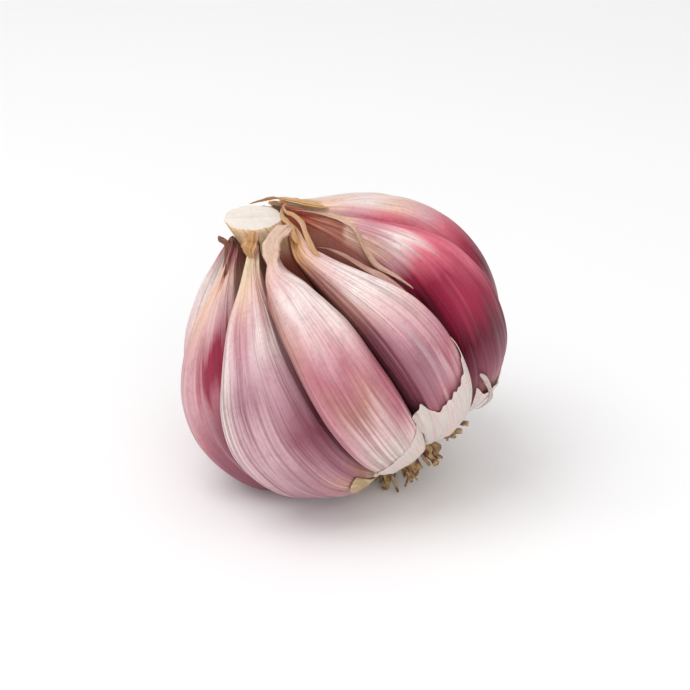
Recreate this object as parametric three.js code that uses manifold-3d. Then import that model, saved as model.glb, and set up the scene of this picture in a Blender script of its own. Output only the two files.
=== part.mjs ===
// A hardneck garlic bulb with its outer wrapper peeled away, leaning on its side as it lies on a table.
// Millimetres, +Z up. The bulb is modelled upright about its stalk, with the underside of its root plate at
// z = 0, and is then leant over towards -X. Azimuths are in degrees round the stalk, from 0 at the front (-Y)
// to 90 at the right (+X).
import * as THREE from 'three';
import { mergeVertices } from 'three/addons/utils/BufferGeometryUtils.js';
import Module from 'manifold-3d';

// Driving dimensions
const BULB_RADIUS = 29; // over the bellies of the cloves
const BULB_LEAN = 32; // degrees from upright
const STALK_RADIUS = 4.3;
const STALK_TOP = 48.4; // where the stalk was cut, on its axis
const STALK_CUT_SLANT = 29; // degrees, lower on the right
const STALK_CUT_FORWARD = 8; // degrees, lower at the front
const PLATE_RADIUS = 8.2;
const PLATE_THICKNESS = 2.6;
const CLEARANCE = 0.3; // left between neighbouring pieces
const RESTING_FLAT_DEPTH = 0.6; // how far the bellies are pressed flat where the bulb lies on them

// Back of a clove from its heel on the root plate to its tail, as [radius, height]
const BACK_PROFILE = [
  [8, 3.2],
  [12, 3.8],
  [19, 4.1],
  [26.2, 10.8],
  [BULB_RADIUS, 20.2],
  [27.6, 28.5],
  [23.4, 35],
  [17, 40.4],
  [10.2, 44.4],
  [5.5, 47.6],
  [6.3, 48.6],
];
// Inner edge of a clove beside the stalk, station by station with the back
const INNER_RADIUS = STALK_RADIUS + 2 * CLEARANCE;
const INNER_HEIGHTS = [3.6, 4.4, 6.2, 11, 18, 25, 31, 37, 42.6, 45.8, 48.6];
const HEEL_INNER_RADIUS = 6.6;

// What most cloves are like
const ORDINARY_CLOVE = {
  heelTurn: 0, // degrees by which the left side is turned at the heel
  squareLeft: 2.8, // how square the left shoulder is (2 is an ellipse)
  squareRight: 2.8,
  plump: 1, // depth of the belly as a share of the profile's
  upperBack: 0, // what is added to that share above the belly
  gape: 0, // degrees by which the left side draws back near the tail, leaving a hollow
  tailFrom: 0.55, // share of the length where the tail begins to narrow
  tailWidth: 0.5, // width of the tail's tip as a share of the room it has
  tailLean: 0, // where the tail lies in that room, from -1 (left) to 1 (right)
  tailReach: 1, // share of the profile's length at which the tail ends
  tailSway: 0, // degrees by which the tail swings to the right above its neck
  neckWidth: 0.52, // share of the width that is left where the clove has drawn in to its tail
};
// The cloves from left to right round the stalk, each from the azimuth of its left side
const CLOVES = [
  {
    start: -85, squareLeft: 4, squareRight: 2, plump: 1.02,
    tailFrom: 0.46, tailWidth: 0.3, tailLean: 0.6, tailReach: 0.96,
  },
  {
    start: -49, heelTurn: -4, squareLeft: 5, plump: 1.03,
    tailFrom: 0.34, tailWidth: 0.34, tailLean: 0.8, tailReach: 0.93,
  },
  {
    start: -9, heelTurn: -2, squareLeft: 4.2, squareRight: 3.6, plump: 0.94,
    tailLean: -0.95, tailReach: 0.86, tailSway: 13,
  },
  {
    start: 24, heelTurn: -2, squareLeft: 2.2, squareRight: 4.8, plump: 0.97, upperBack: -0.16,
    tailFrom: 0.43, tailWidth: 0.31, tailLean: -1, tailReach: 0.9, tailSway: 16, neckWidth: 0.95,
  },
  {
    start: 50.5, squareLeft: 3.6, squareRight: 2.2, plump: 1.06, upperBack: -0.14, gape: 8.5,
    tailFrom: 0.3, tailWidth: 0.15, tailLean: 0.8, tailReach: 0.95,
  },
  {
    start: 84, heelTurn: 4, squareRight: 4.7, plump: 0.98, upperBack: 0.06,
    tailFrom: 0.6, tailLean: -0.2, tailReach: 0.93,
  },
  { start: 117, squareLeft: 2.6, squareRight: 3, tailLean: 0.2, tailReach: 0.93 },
  { start: 153, squareLeft: 3, squareRight: 2.5, tailWidth: 0.6, tailLean: -0.4, tailReach: 0.93 },
  { start: 194, squareLeft: 2.6, squareRight: 3, tailLean: 0.5, tailReach: 0.92 },
  { start: 234, squareRight: 2.6, tailLean: -0.2, tailReach: 0.9 },
].map((clove) => ({ ...ORDINARY_CLOVE, ...clove }));
const INNER_SQUARENESS = 2;
const HEEL_TURN_UNTIL = 0.6; // share of the length where the turn at the heel has died out
// Stretches of a clove's length over which a swelling rises and dies away
const BELLY = { from: 0, full: 0.25, until: 0.7, gone: 0.95 };
const UPPER_BACK = { from: 0.5, full: 0.75, until: 0.93, gone: 1 };
const GAPE = { from: 0.48, full: 0.72, until: 0.8, gone: 1 };
const TAIL_TWIST = 30; // degrees by which the tails sweep round the stalk where they sweep most
const TWIST_FROM = 0.78; // share of the length where the sweep begins
const TWIST_MOST_AT = 40; // azimuth where it is strongest
const NECK_FROM = 0.68; // share of the length where a clove begins to draw in to its tail
const NECK_TO = 0.83;
const SWAY_FROM = 0.74;
const SWAY_TO = 0.84;
const HEEL_ROUNDING = 0.08; // share of the length over which the heel closes
const TIP_ROUNDING = 0.05;
const SECTION_SIDES = 20;
const STATIONS = 18;

// Scraps of wrapper: azimuths, stretch of the back profile that they cover, how deep their upper edge is
// torn, and how far the cloves under them swell
const SKIN_THICKNESS = 0.35;
const BASE_SKINS = [
  { name: 'base_skin_front_left', from: -38, to: -14, low: 0.04, high: 0.15, torn: 0.03, plump: 1.03 },
  { name: 'base_skin_front', from: -10, to: 20, low: 0.04, high: 0.24, torn: 0.04, plump: 0.95 },
  { name: 'base_skin_right', from: 23, to: 49, low: 0.04, high: 0.31, torn: 0.06, plump: 0.98 },
  { name: 'base_skin_far_right', from: 52, to: 88, low: 0.04, high: 0.22, torn: 0.05, plump: 1.06 },
  { name: 'base_skin_back', from: 118, to: 160, low: 0.04, high: 0.22, torn: 0.06 },
  { name: 'base_skin_back_left', from: 185, to: 222, low: 0.04, high: 0.18, torn: 0.05 },
];
const NECK_SKINS = [
  { name: 'neck_skin_right', from: 38, to: 50, low: 0.76, high: 0.94, torn: 0.03 },
  { name: 'neck_skin_back', from: 76, to: 108, low: 0.78, high: 0.93, torn: 0.04, upperBack: 0.06 },
  { name: 'neck_skin_far', from: 178, to: 208, low: 0.82, high: 0.94, torn: 0.05 },
];
const SKIN_STEPS_ROUND = 8;
const SKIN_STEPS_UP = 10;
const TEETH_PER_SKIN = 1.5; // torn points along an upper edge

// Dried roots, trimmed short: rings of tufts under the plate
const ROOT_RINGS = [
  { count: 12, radius: 6.4, splay: 5.2, length: 2.6 },
  { count: 5, radius: 2.8, splay: 1, length: 2.8 },
];
const ROOT_REACH = 1.4; // extra length of the tufts on the low side, which the bulb leans on
const ROOT_RADIUS = 0.85;
const ROOT_SIDES = 6;
const ROOT_STEPS = 4;

const FLOOR_BLOCK = 200; // size of the block that presses the resting flat
const FULL_TURN = 2 * Math.PI;
const lean = THREE.MathUtils.degToRad(BULB_LEAN);
const leanBack = new THREE.Matrix4().makeRotationY(lean);
const leanOver = new THREE.Matrix4().makeRotationY(-lean);

const wasm = await Module();
wasm.setup();

// Boolean helpers

function closedGeometry(geometry) {
  geometry.deleteAttribute('normal');
  geometry.deleteAttribute('uv');
  return mergeVertices(geometry);
}

function toSolid(geometry) {
  const vertProperties = new Float32Array(geometry.attributes.position.array);
  const triVerts = new Uint32Array(geometry.index.array);
  return new wasm.Manifold(new wasm.Mesh({ numProp: 3, vertProperties, triVerts }));
}

function cutAway(geometry, cutter) {
  const mesh = toSolid(geometry).subtract(toSolid(cutter)).getMesh();
  const result = new THREE.BufferGeometry();
  result.setAttribute('position', new THREE.BufferAttribute(mesh.vertProperties, 3));
  result.setIndex(new THREE.BufferAttribute(mesh.triVerts, 1));
  result.computeVertexNormals();
  return result;
}

// Shape of the bulb

const backCurve = new THREE.SplineCurve(BACK_PROFILE.map(([x, y]) => new THREE.Vector2(x, y)));
const innerCurve = new THREE.SplineCurve(
  INNER_HEIGHTS.map((height, i) => new THREE.Vector2(i === 0 ? HEEL_INNER_RADIUS : INNER_RADIUS, height)),
);

// A point at a radius, an azimuth in degrees and a height
function onBulb(radius, azimuth, height) {
  const angle = THREE.MathUtils.degToRad(azimuth);
  return new THREE.Vector3(radius * Math.sin(angle), -radius * Math.cos(angle), height);
}

function signedPower(value, power) {
  return Math.sign(value) * Math.abs(value) ** power;
}

// 0 at an end of a clove, rising along a quarter circle to 1
function roundedEnd(distance, rounding) {
  const left = Math.max(0, 1 - distance / rounding);
  return Math.sqrt(1 - left * left);
}

// An azimuth after the sweep of the tails, at a share of the length
function swept(azimuth, along) {
  const strength = 0.5 + 0.5 * Math.cos(THREE.MathUtils.degToRad(azimuth - TWIST_MOST_AT));
  return azimuth + TAIL_TWIST * strength * THREE.MathUtils.smoothstep(along, TWIST_FROM, 1);
}

// Rises from 0 to 1 and falls back over a stretch of the length
function swell(along, { from, full, until, gone }) {
  return THREE.MathUtils.smoothstep(along, from, full) * (1 - THREE.MathUtils.smoothstep(along, until, gone));
}

// The back of a clove, or of a scrap that lies on one, swollen from the inner edge
function swollenBack({ plump, upperBack }, along) {
  const depth = 1 + (plump - 1) * swell(along, BELLY) + upperBack * swell(along, UPPER_BACK);
  return innerCurve.getPoint(along).lerp(backCurve.getPoint(along), depth);
}

// The azimuth of the side between a clove and the one to its left
function sideOf(clove, along) {
  return clove.start + clove.heelTurn * (1 - THREE.MathUtils.smoothstep(along, 0, HEEL_TURN_UNTIL));
}

// The surface of a clove, by the angle round its section and the share of its length from heel to tail tip
function clovePoint(clove, next, around, share) {
  const side = -Math.cos(around);
  const outward = Math.sin(around);
  const shoulder = side < 0 ? clove.squareLeft : clove.squareRight;
  const power = 2 / (outward > 0 ? shoulder : INNER_SQUARENESS);
  const closing = roundedEnd(share, HEEL_ROUNDING) * roundedEnd(1 - share, TIP_ROUNDING);
  const across = signedPower(side, power) * closing;
  const depth = 0.5 + 0.5 * signedPower(outward, power) * closing;
  const along = share * clove.tailReach;
  const section = innerCurve.getPoint(along).lerp(swollenBack(clove, along), depth);

  const left = sideOf(clove, along) + clove.gape * swell(along, GAPE);
  const half = (sideOf(next, along) - left) / 2;
  const room = half - THREE.MathUtils.radToDeg(CLEARANCE / 2 / section.x);
  const spare = (1 - clove.tailWidth) * THREE.MathUtils.smoothstep(along, clove.tailFrom, 1);
  const drawnIn = THREE.MathUtils.smoothstep(along, NECK_FROM, NECK_TO);
  const width = (1 - spare) * THREE.MathUtils.lerp(1, clove.neckWidth, drawnIn);
  const sway = clove.tailSway * THREE.MathUtils.smoothstep(along, SWAY_FROM, SWAY_TO);
  const azimuth = left + half + sway + room * (clove.tailLean * (1 - width) + across * width);
  return onBulb(section.x, swept(azimuth, along), section.y);
}

// A ball whose skin is drawn out over the clove
function cloveGeometry(clove, next) {
  const geometry = new THREE.SphereGeometry(1, SECTION_SIDES, STATIONS);
  const { position, uv } = geometry.attributes;
  for (let i = 0; i < position.count; i++) {
    const point = clovePoint(clove, next, uv.getX(i) * FULL_TURN, uv.getY(i));
    position.setXYZ(i, point.x, point.y, point.z);
  }
  return closedGeometry(geometry);
}

// A thin scrap of skin that lies just outside the backs of the cloves
function skinGeometry({ from, to, low, high, torn, ...swelling }) {
  const geometry = new THREE.BoxGeometry(1, 1, 1, SKIN_STEPS_ROUND, SKIN_STEPS_UP, 1);
  const { position } = geometry.attributes;
  for (let i = 0; i < position.count; i++) {
    const round = position.getX(i) + 0.5;
    const tooth = Math.abs(((round * TEETH_PER_SKIN) % 1) * 2 - 1);
    const top = high - torn * tooth;
    const along = THREE.MathUtils.lerp(low, top, position.getY(i) + 0.5);
    const offset = CLEARANCE + SKIN_THICKNESS * (position.getZ(i) + 0.5);
    const back = swollenBack({ ...ORDINARY_CLOVE, ...swelling }, along);
    const tangent = backCurve.getTangent(along);
    const radius = back.x + tangent.y * offset;
    const height = back.y - tangent.x * offset;
    const point = onBulb(radius, swept(THREE.MathUtils.lerp(from, to, round), along), height);
    position.setXYZ(i, point.x, point.y, point.z);
  }
  return closedGeometry(geometry);
}

function stalkGeometry() {
  const foot = PLATE_THICKNESS + CLEARANCE;
  const uncut = STALK_TOP + 2 * STALK_RADIUS;
  const profile = [
    new THREE.Vector2(0, foot),
    new THREE.Vector2(STALK_RADIUS * 0.9, foot),
    new THREE.Vector2(STALK_RADIUS * 0.94, STALK_TOP * 0.5),
    new THREE.Vector2(STALK_RADIUS, STALK_TOP * 0.9),
    new THREE.Vector2(STALK_RADIUS, uncut),
    new THREE.Vector2(0, uncut),
  ];
  const stalk = closedGeometry(new THREE.LatheGeometry(profile, SECTION_SIDES).rotateX(Math.PI / 2));
  const knife = new THREE.BoxGeometry(FLOOR_BLOCK, FLOOR_BLOCK, FLOOR_BLOCK);
  knife.translate(0, 0, FLOOR_BLOCK / 2);
  knife.rotateY(THREE.MathUtils.degToRad(STALK_CUT_SLANT));
  knife.rotateX(THREE.MathUtils.degToRad(STALK_CUT_FORWARD));
  knife.translate(0, 0, STALK_TOP);
  return cutAway(stalk, closedGeometry(knife));
}

function plateGeometry() {
  const profile = [
    new THREE.Vector2(0, 0),
    new THREE.Vector2(PLATE_RADIUS * 0.8, 0.1),
    new THREE.Vector2(PLATE_RADIUS, PLATE_THICKNESS * 0.45),
    new THREE.Vector2(PLATE_RADIUS * 0.92, PLATE_THICKNESS * 0.9),
    new THREE.Vector2(0, PLATE_THICKNESS),
  ];
  return closedGeometry(new THREE.LatheGeometry(profile, SECTION_SIDES).rotateX(Math.PI / 2));
}

// A bent stub that leaves the underside of the plate and splays outwards
function rootGeometry(azimuth, { radius, splay, length }) {
  const lowSide = Math.max(0, Math.cos(THREE.MathUtils.degToRad(azimuth + 90)));
  const reach = length + ROOT_REACH * lowSide;
  const path = new THREE.CatmullRomCurve3([
    onBulb(radius, azimuth, -CLEARANCE),
    onBulb(radius + splay * 0.3, azimuth, -CLEARANCE - reach * 0.5),
    onBulb(radius + splay, azimuth, -CLEARANCE - reach),
  ]);
  const outline = new THREE.Shape();
  outline.absarc(0, 0, ROOT_RADIUS, 0, FULL_TURN);
  const section = new THREE.Shape(outline.getPoints(ROOT_SIDES / 2));
  const options = { steps: ROOT_STEPS, bevelEnabled: false, extrudePath: path };
  return closedGeometry(new THREE.ExtrudeGeometry(section, options));
}

// Where the bulb touches the table: its lowest belly, pressed up a little

const cloveGeometries = CLOVES.map((clove, i) => {
  const next = CLOVES[i + 1] ?? { ...CLOVES[0], start: CLOVES[0].start + 360 };
  return cloveGeometry(clove, next);
});

function lowestWhenLeant(geometry) {
  const leant = geometry.clone().applyMatrix4(leanOver);
  leant.computeBoundingBox();
  return leant.boundingBox.min.z;
}

const tableHeight = Math.min(...cloveGeometries.map(lowestWhenLeant)) + RESTING_FLAT_DEPTH;

function pressOnTable(geometry) {
  if (lowestWhenLeant(geometry) >= tableHeight) return geometry;
  const table = new THREE.BoxGeometry(FLOOR_BLOCK, FLOOR_BLOCK, FLOOR_BLOCK);
  table.translate(0, 0, tableHeight - FLOOR_BLOCK / 2);
  table.applyMatrix4(leanBack);
  return cutAway(geometry, closedGeometry(table));
}

// Materials

const finish = (color, roughness) => new THREE.MeshStandardMaterial({ color, roughness, metalness: 0 });
const cloveSkin = finish('#c98391', 0.5);
const crimsonSkin = finish('#9c2f4b', 0.45);
const stalkFinish = finish('#e2d8c8', 0.8);
const plateFinish = finish('#c9b48c', 0.9);
const rootFinish = finish('#8a6a3c', 0.95);
const paperSkin = finish('#ece4de', 0.7);
const driedSkin = finish('#cf9f5c', 0.75);
const CRIMSON_CLOVES = [5, 8];

// Assembly

const bulb = new THREE.Group();

function addPiece(name, geometry, material) {
  const mesh = new THREE.Mesh(geometry, material);
  mesh.name = name;
  bulb.add(mesh);
}

cloveGeometries.forEach((geometry, i) => {
  const number = i + 1;
  const material = CRIMSON_CLOVES.includes(number) ? crimsonSkin : cloveSkin;
  addPiece(`clove_${number}`, pressOnTable(geometry), material);
});
addPiece('flower_stalk', stalkGeometry(), stalkFinish);
addPiece('root_plate', plateGeometry(), plateFinish);
BASE_SKINS.forEach((skin) => addPiece(skin.name, skinGeometry(skin), paperSkin));
NECK_SKINS.forEach((skin) => addPiece(skin.name, skinGeometry(skin), driedSkin));

let rootNumber = 0;
for (const ring of ROOT_RINGS) {
  for (let i = 0; i < ring.count; i++) {
    rootNumber += 1;
    const root = rootGeometry((i / ring.count) * 360, ring);
    addPiece(`root_tuft_${rootNumber}`, pressOnTable(root), rootFinish);
  }
}

// The bulb lies with the table at z = 0 and the middle of its outline over the origin
bulb.rotation.y = -lean;
bulb.position.z = -tableHeight;
bulb.updateMatrixWorld(true);
const extent = new THREE.Box3().setFromObject(bulb, true);
bulb.position.x -= (extent.min.x + extent.max.x) / 2;
bulb.position.y -= (extent.min.y + extent.max.y) / 2;

const part = new THREE.Group();
part.add(bulb);

export default part;
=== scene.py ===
"""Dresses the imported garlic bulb: veined cloves, a cut stalk, torn skins, dried roots and a stage."""

import math
from typing import NamedTuple

import bpy
import numpy as np
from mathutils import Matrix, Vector


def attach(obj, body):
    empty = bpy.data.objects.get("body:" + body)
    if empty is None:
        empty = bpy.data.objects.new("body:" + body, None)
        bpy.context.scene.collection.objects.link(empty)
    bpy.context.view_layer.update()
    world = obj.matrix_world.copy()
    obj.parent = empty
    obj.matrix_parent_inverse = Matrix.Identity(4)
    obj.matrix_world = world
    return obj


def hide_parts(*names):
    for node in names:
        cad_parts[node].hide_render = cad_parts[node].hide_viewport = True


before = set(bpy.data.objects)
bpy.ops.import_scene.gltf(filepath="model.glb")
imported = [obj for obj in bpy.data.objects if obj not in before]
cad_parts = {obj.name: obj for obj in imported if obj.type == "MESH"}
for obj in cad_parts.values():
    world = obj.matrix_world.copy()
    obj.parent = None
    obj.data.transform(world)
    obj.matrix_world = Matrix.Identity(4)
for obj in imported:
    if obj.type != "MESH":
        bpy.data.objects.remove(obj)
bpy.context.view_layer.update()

bl_info = {
    "name": "Garlic Bulb",
    "version": (1, 0, 0),
    "blender": (4, 5, 0),
    "location": "3D View > Sidebar > Garlic",
    "description": "Builds the looks of a leaning garlic bulb round its packed model",
    "category": "Object",
}

MM = 0.001
BODY = "root"

# The bulb upright about its stalk, in millimetres from the underside of the root plate
BULB_RADIUS = 29.0
STALK_RADIUS = 4.3
STALK_TOP = 48.4
STALK_CUT_SLANT = math.radians(29)
STALK_CUT_FORWARD = math.radians(8)
STALK_FOOT = 3.0
PLATE_RADIUS = 8.2
PLATE_THICKNESS = 2.6
BACK_PROFILE = (
    (8, 3.2), (12, 3.8), (19, 4.1), (26.2, 10.8), (BULB_RADIUS, 20.2), (27.6, 28.5),
    (23.4, 35), (17, 40.4), (10.2, 44.4), (5.5, 47.6), (6.3, 48.6),
)
INNER_RADIUS = STALK_RADIUS + 0.6
INNER_PROFILE = ((6.6, 3.6),) + tuple(
    (INNER_RADIUS, height) for height in (4.4, 6.2, 11, 18, 25, 31, 37, 42.6, 45.8, 48.6)
)
INNER_SQUARENESS = 2.0
GAP = 0.3
HEEL_TURN_UNTIL = 0.6
BELLY = (0, 0.25, 0.7, 0.95)
UPPER_BACK = (0.5, 0.75, 0.93, 1)
GAPE = (0.48, 0.72, 0.8, 1)
TAIL_TWIST = 30.0
TWIST_FROM = 0.78
TWIST_MOST_AT = 40.0
NECK_STRETCH = (0.68, 0.83)
SWAY_STRETCH = (0.74, 0.84)
HEEL_ROUNDING = 0.08
TIP_ROUNDING = 0.05

# Fineness of the meshes
CLOVE_ROUND = 200
CLOVE_ROWS = 220
INNER_SHARE = 0.35
REFERENCE_STATION = 0.45
SECTION_SAMPLES = 4001
PROFILE_STEP = 0.01
SCRAP_ROWS = 40
SCRAP_COLUMNS = 120
SCRAP_BLUR = 2
RIBBON_ROWS = 90
RIBBON_ROUND = 40
STALK_ROUND = 120
STALK_SIDE_ROWS = 60
STALK_FACE_ROWS = 24
PLATE_ROUND = 140
PLATE_ROWS = 48
ROOT_ROWS = 12
ROOT_SIDES = 7

# Detail of the pieces, in millimetres, degrees and shares of a clove's length
KEEL_HALF_WIDTH = 0.09
KEEL_SHARPNESS = 1.5
KEEL_STRETCH = (0.12, 0.3, 0.6, 0.78)
RELIEF_EDGE = (0.75, 1.1)
RIBBED_STRETCH = (0.03, 0.14, 0.8, 0.92)
FOLDED_STRETCH = (0.7, 0.88)
FOLD_SLANT = 1.2
SCRAP_LOW = 0.03
SCRAP_LIFT = 0.28
GROOVE_BRIDGE = 0.86
CURL_SHARPNESS = 4
CURL_EVENNESS = 0.6
RIBBON_START = (-0.02, 0.35)
RIBBON_END = 0.25
RIBBON_CUP = 0.2
RIDGE_SLANT = (1.2 / 3, 1.6 / 3)
STALK_INSET = 0.1
STALK_TAPER = 0.1
STALK_RIM = 0.97
FACE_MIDDLE = 1.5
FACE_RISE = 0.1
CREST_HEIGHT = 0.25
CREST_PLACE = -0.5
CREST_HALF_WIDTH = 0.5
PLATE_EVEN_MIDDLE = (1, 4)
PLATE_LEAST_RADIUS = 0.1
PLATE_LUMP_HEIGHT = 0.5
PLATE_PROFILE = (
    (0.4, 0.05), (4, 0.0), (PLATE_RADIUS * 0.8, 0.15), (PLATE_RADIUS, 1.1),
    (PLATE_RADIUS * 0.93, 2.3), (4, 2.55), (0.4, PLATE_THICKNESS),
)
# Each ring of roots: tufts, radius, splay, length, thick stubs and thin strands in a tuft
ROOT_RINGS = (
    (12, 6.4, 5.2, 2.6, 2, 6),
    (5, 2.8, 1.0, 2.8, 2, 3),
)
ROOT_REACH = 1.4
STUB_STOUTNESS = 2.2
LOW_AZIMUTH = -90
ROOT_TOP = 0.6
ROOT_STRAY = 0.6
TURN_AT_START = 9
TURN_AT_END = 13
ROOT_LENGTHS = (0.45, 1.05)
ROOT_BOW = 0.6
ROOT_WIDTHS = (0.7, 1.35)
ROOT_FOOT = 1.1
ROOT_TAPER = 0.4
ROOT_SIDE = (0.3, 0.9, 0.2)

# Layers of unevenness: the strength of each, and its bumps across and along
DRIFT = ((0.12, 1.3, 3),)
RIBS = ((1, 16, 2.5), (0.6, 34, 4))
LUMPS = ((1, 1.7, 5), (0.4, 4, 11))
SLANTING_FOLDS = ((1, 5, 9),)
STRAIGHT_FOLDS = ((0.6, 13, 6),)
KEEL_WANDER = ((0.05, 4, 1),)
TEARS = ((0.006, 1 / 1.6, 1), (0.004, 1 / 0.7, 1))
FRAYS = ((0.9, 1, 9),)
CRUMPLES = ((0.14, 1 / 5, 3), (0.084, 1 / 1.8, 5))
CURL_WAVES = ((0.4, 1 / 6, 1),)
RIBBON_WAVER = ((25, 4, 1),)
RIBBON_EDGES = ((0.2, 8, 1),)
RIBBON_RIDGES = ((0.36, 3, 3),)
RIBBON_CRINKLES = ((0.1, 16, 1.5),)
STALK_GROOVES = ((0.12, 1 / 14, 1), (0.06, 1 / 5, 1))
FACE_FIBRES = ((0.12, 1.3, 1.3),)
CORK_LUMPS = ((0.25, 1 / 9, 14), (0.15, 1 / 4, 30))
ROOT_WIGGLE = ((0.3, 4, 1),)
ROOT_KNOBS = ((0.25, 6, 1),)

# Where the seeded noise of each piece begins
LATTICE = 256
CLOVE_SEED_STEP = 10
SHEET_SEED_STEP = 20
ROOT_SEED = 41
ROOT_SEEDS_BELOW = 9999
STALK_SEED = 91
FACE_SEED = 93
PLATE_SEED = 95
SCRAP_SEED = 300
BASE_RIBBON_SEED = 700
NECK_RIBBON_SEED = 800

# The photograph's view
IMAGE_SIDE = 690
BULB_MIDDLE = 20.2
VIEW_ELEVATION = math.radians(26)
VIEW_DISTANCE = 0.327
VIEW_LENS = 100.0
VIEW_SENSOR = 36.0
MIDDLE_PIXEL = (344, 348)

# The studio, in metres and watts
FLOOR_HALF_SIDE = 6.0
SKY_STRENGTH = 0.75
LIT_POINT = (0, 0, 0.02)
SOFTBOXES = (
    ("key", (-0.25, -0.12, 0.6), 0.45, 1.7),
    ("fill", (0.2, -0.75, 0.4), 0.6, 1.7),
)

# Looks of the skins
SKIN_CONSTANTS = {
    "Subsurface_Weight": 0.12,
    "Subsurface_Scale": 0.002,
    "Subsurface_Radius": (1.0, 0.4, 0.25),
}
CLOVE_SHIFT = 7.3
WANDER_DEPTH = 0.1
BROAD_REACH = 0.1
STREAK_REACH = 0.14
BROAD_SIDE = 0.2
STREAK_SIDE = 0.1
HOLLOW_STRETCH = (0.68, 0.77)
# Strength of the painted shade where the cloves turn into the grooves
FLANK_SHADE_STRENGTH = 0.8
VEINED_FROM = (0.04, 0.2)
VEINED_UNTIL = (0.86, 0.62)
VEINED_PARTS = (0.34, 0.56)
DRIED_FROM = (0.72, 0.88)
STREAK_HEIGHT = 0.6
SKIN_ROUGHNESS = 0.42
STALK_ROUGHNESS = 0.6
PAPER_ROUGHNESS = 0.5
MATT_ROUGHNESS = 0.8
SATIN_SPREAD = 0.2
MATT_SPREAD = 0.1

# Depth in metres and strength of the finest relief
SKIN_BUMP = (0.00012, 0.6)
STALK_BUMP = (0.0002, 0.5)
DRY_BUMP = (0.0003, 0.6)

# Noise through space, in bumps a metre
MOTTLE_BUMPS = 1400.0
SPECKLE_BUMPS = 1900.0
PITH_BUMPS = 1500.0
BLOTCH_BUMPS = 260.0
PAPER_SPECK_BUMPS = 1300.0
CORK_BUMPS = 900.0
CORK_DETAIL = 4.0
PALE_CORK_BUMPS = 300.0
FLOOR_BUMPS = 40.0


class Grain(NamedTuple):
    """Noise over a skin: its bumps across and along, its detail and its roughness."""

    across: float
    along: float
    detail: float = 2.0
    roughness: float = 0.5


WANDER = Grain(2.5, 3.5, 1.0)
BROAD = Grain(4.5, 1.8)
STREAKS = Grain(15, 1.3, 3.0, 0.6)
HAIRS = Grain(42, 1.8)
PATCHES = Grain(5, 13, 3.0)
STALK_FIBRES = Grain(40, 1.5, 3.0)
PAPER_FIBRES = Grain(9, 3, 3.0)
PAPER_VEINS = Grain(50, 3, 3.0)


class Mark(NamedTuple):
    """A mark on a skin: the value where it begins, the value where it is full, and its strength."""

    begins: float
    full: float
    strength: float = 1


DARK_STREAK = Mark(0.5, 0.66, 0.45)
THIN_VEIN = Mark(0.52, 0.62, 0.42)
PAINTED_SHEEN_STREAK = Mark(0.46, 0.3)
PATCH = Mark(0.48, 0.68, 0.16)
MOTTLE = Mark(0.48, 0.7, 0.14)
DRIED_SPECK = Mark(0.56, 0.72, 0.35)
STALK_FIBRE = Mark(0.35, 0.7)
PITH_GRAIN = Mark(0.4, 0.75, 0.25)
STALK_SHADE = Mark(0.94, 0.8)
CUT_FACE = Mark(0.98, 1.02)
PAPER_FIBRE = Mark(0.42, 0.6, 0.5)
PAPER_BLOTCH = Mark(0.5, 0.72, 0.5)
PAPER_VEIN = Mark(0.52, 0.7, 0.2)
PAPER_SPECK = Mark(0.6, 0.75, 0.3)
CORK = Mark(0.38, 0.6)
PALE_CORK = Mark(0.55, 0.75, 0.6)


def srgb(code):
    """A linear colour from an sRGB code such as '#e8d4c0'."""
    parts = [int(code[i:i + 2], 16) / 255 for i in (1, 3, 5)]
    return tuple(p / 12.92 if p <= 0.04045 else ((p + 0.055) / 1.055) ** 2.4 for p in parts)


def colour_property(name, code, description):
    return bpy.props.FloatVectorProperty(
        name=name, description=description, default=srgb(code), subtype="COLOR", size=3, min=0, max=1
    )


def length_property(name, millimetres, description):
    return bpy.props.FloatProperty(
        name=name, description=description, default=millimetres * MM, min=0, unit="LENGTH", precision=5
    )


class GarlicColours(bpy.types.PropertyGroup):
    """Colours of the skins, the stalk, the roots and the floor"""

    # Ivory is the skin's pale tone; high on the shoulders of cloves 2 to 5 it is also a painted highlight
    # where the light falls.
    ivory: colour_property("Ivory", "#ecdcd8", "Palest skin, on the shoulders of the cloves")
    peach: colour_property("Peach", "#e6c0ae", "Warm pale skin towards the tails")
    blush: colour_property("Blush", "#e3c1bf", "Pale pink skin")
    pink: colour_property("Pink", "#d39fa6", "Pink skin")
    rose: colour_property("Rose", "#bb7480", "Strong pink skin")
    clay: colour_property("Clay", "#b98478", "Brownish pink skin")
    lilac: colour_property("Lilac", "#cda5ae", "Pale purple skin")
    mauve: colour_property("Mauve", "#ad7f8b", "Greyish purple skin")
    plum: colour_property("Plum", "#8d5060", "Purple skin")
    coral: colour_property("Coral", "#d4687a", "Warm bright red skin")
    crimson: colour_property("Crimson", "#9a2041", "Deep red skin")
    # Maroon is deep red skin, and in the flank ramps it is also painted shade in the grooves.
    maroon: colour_property("Maroon", "#5c1122", "Darkest red skin, in the grooves")
    vein: colour_property("Vein", "#78374a", "Thin veins that run along the cloves")
    straw: colour_property("Straw", "#e3ceb0", "Cream of the dried tails")
    tan: colour_property("Tan", "#d8a56c", "Tan of the driest skins")
    gold: colour_property("Gold", "#dba35c", "Golden brown of crisp folds")
    bark: colour_property("Bark", "#6e4432", "Brown of withered tips and shaded tails")
    # Hollow is read off the shaded hollow beside the crimson clove; in the flank ramps and down the stalk
    # it is painted shade.
    hollow: colour_property("Hollow", "#a65443", "Reddish brown of the hollow beside the crimson clove")
    paper: colour_property("Paper", "#dccdc6", "Torn wrapper round the base")
    pith: colour_property("Pith", "#e4dbd3", "Cut face of the stalk")
    root: colour_property("Root", "#b3966a", "Dried roots")
    floor: colour_property("Floor", "#f6f6f6", "The ground under the bulb")


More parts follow.
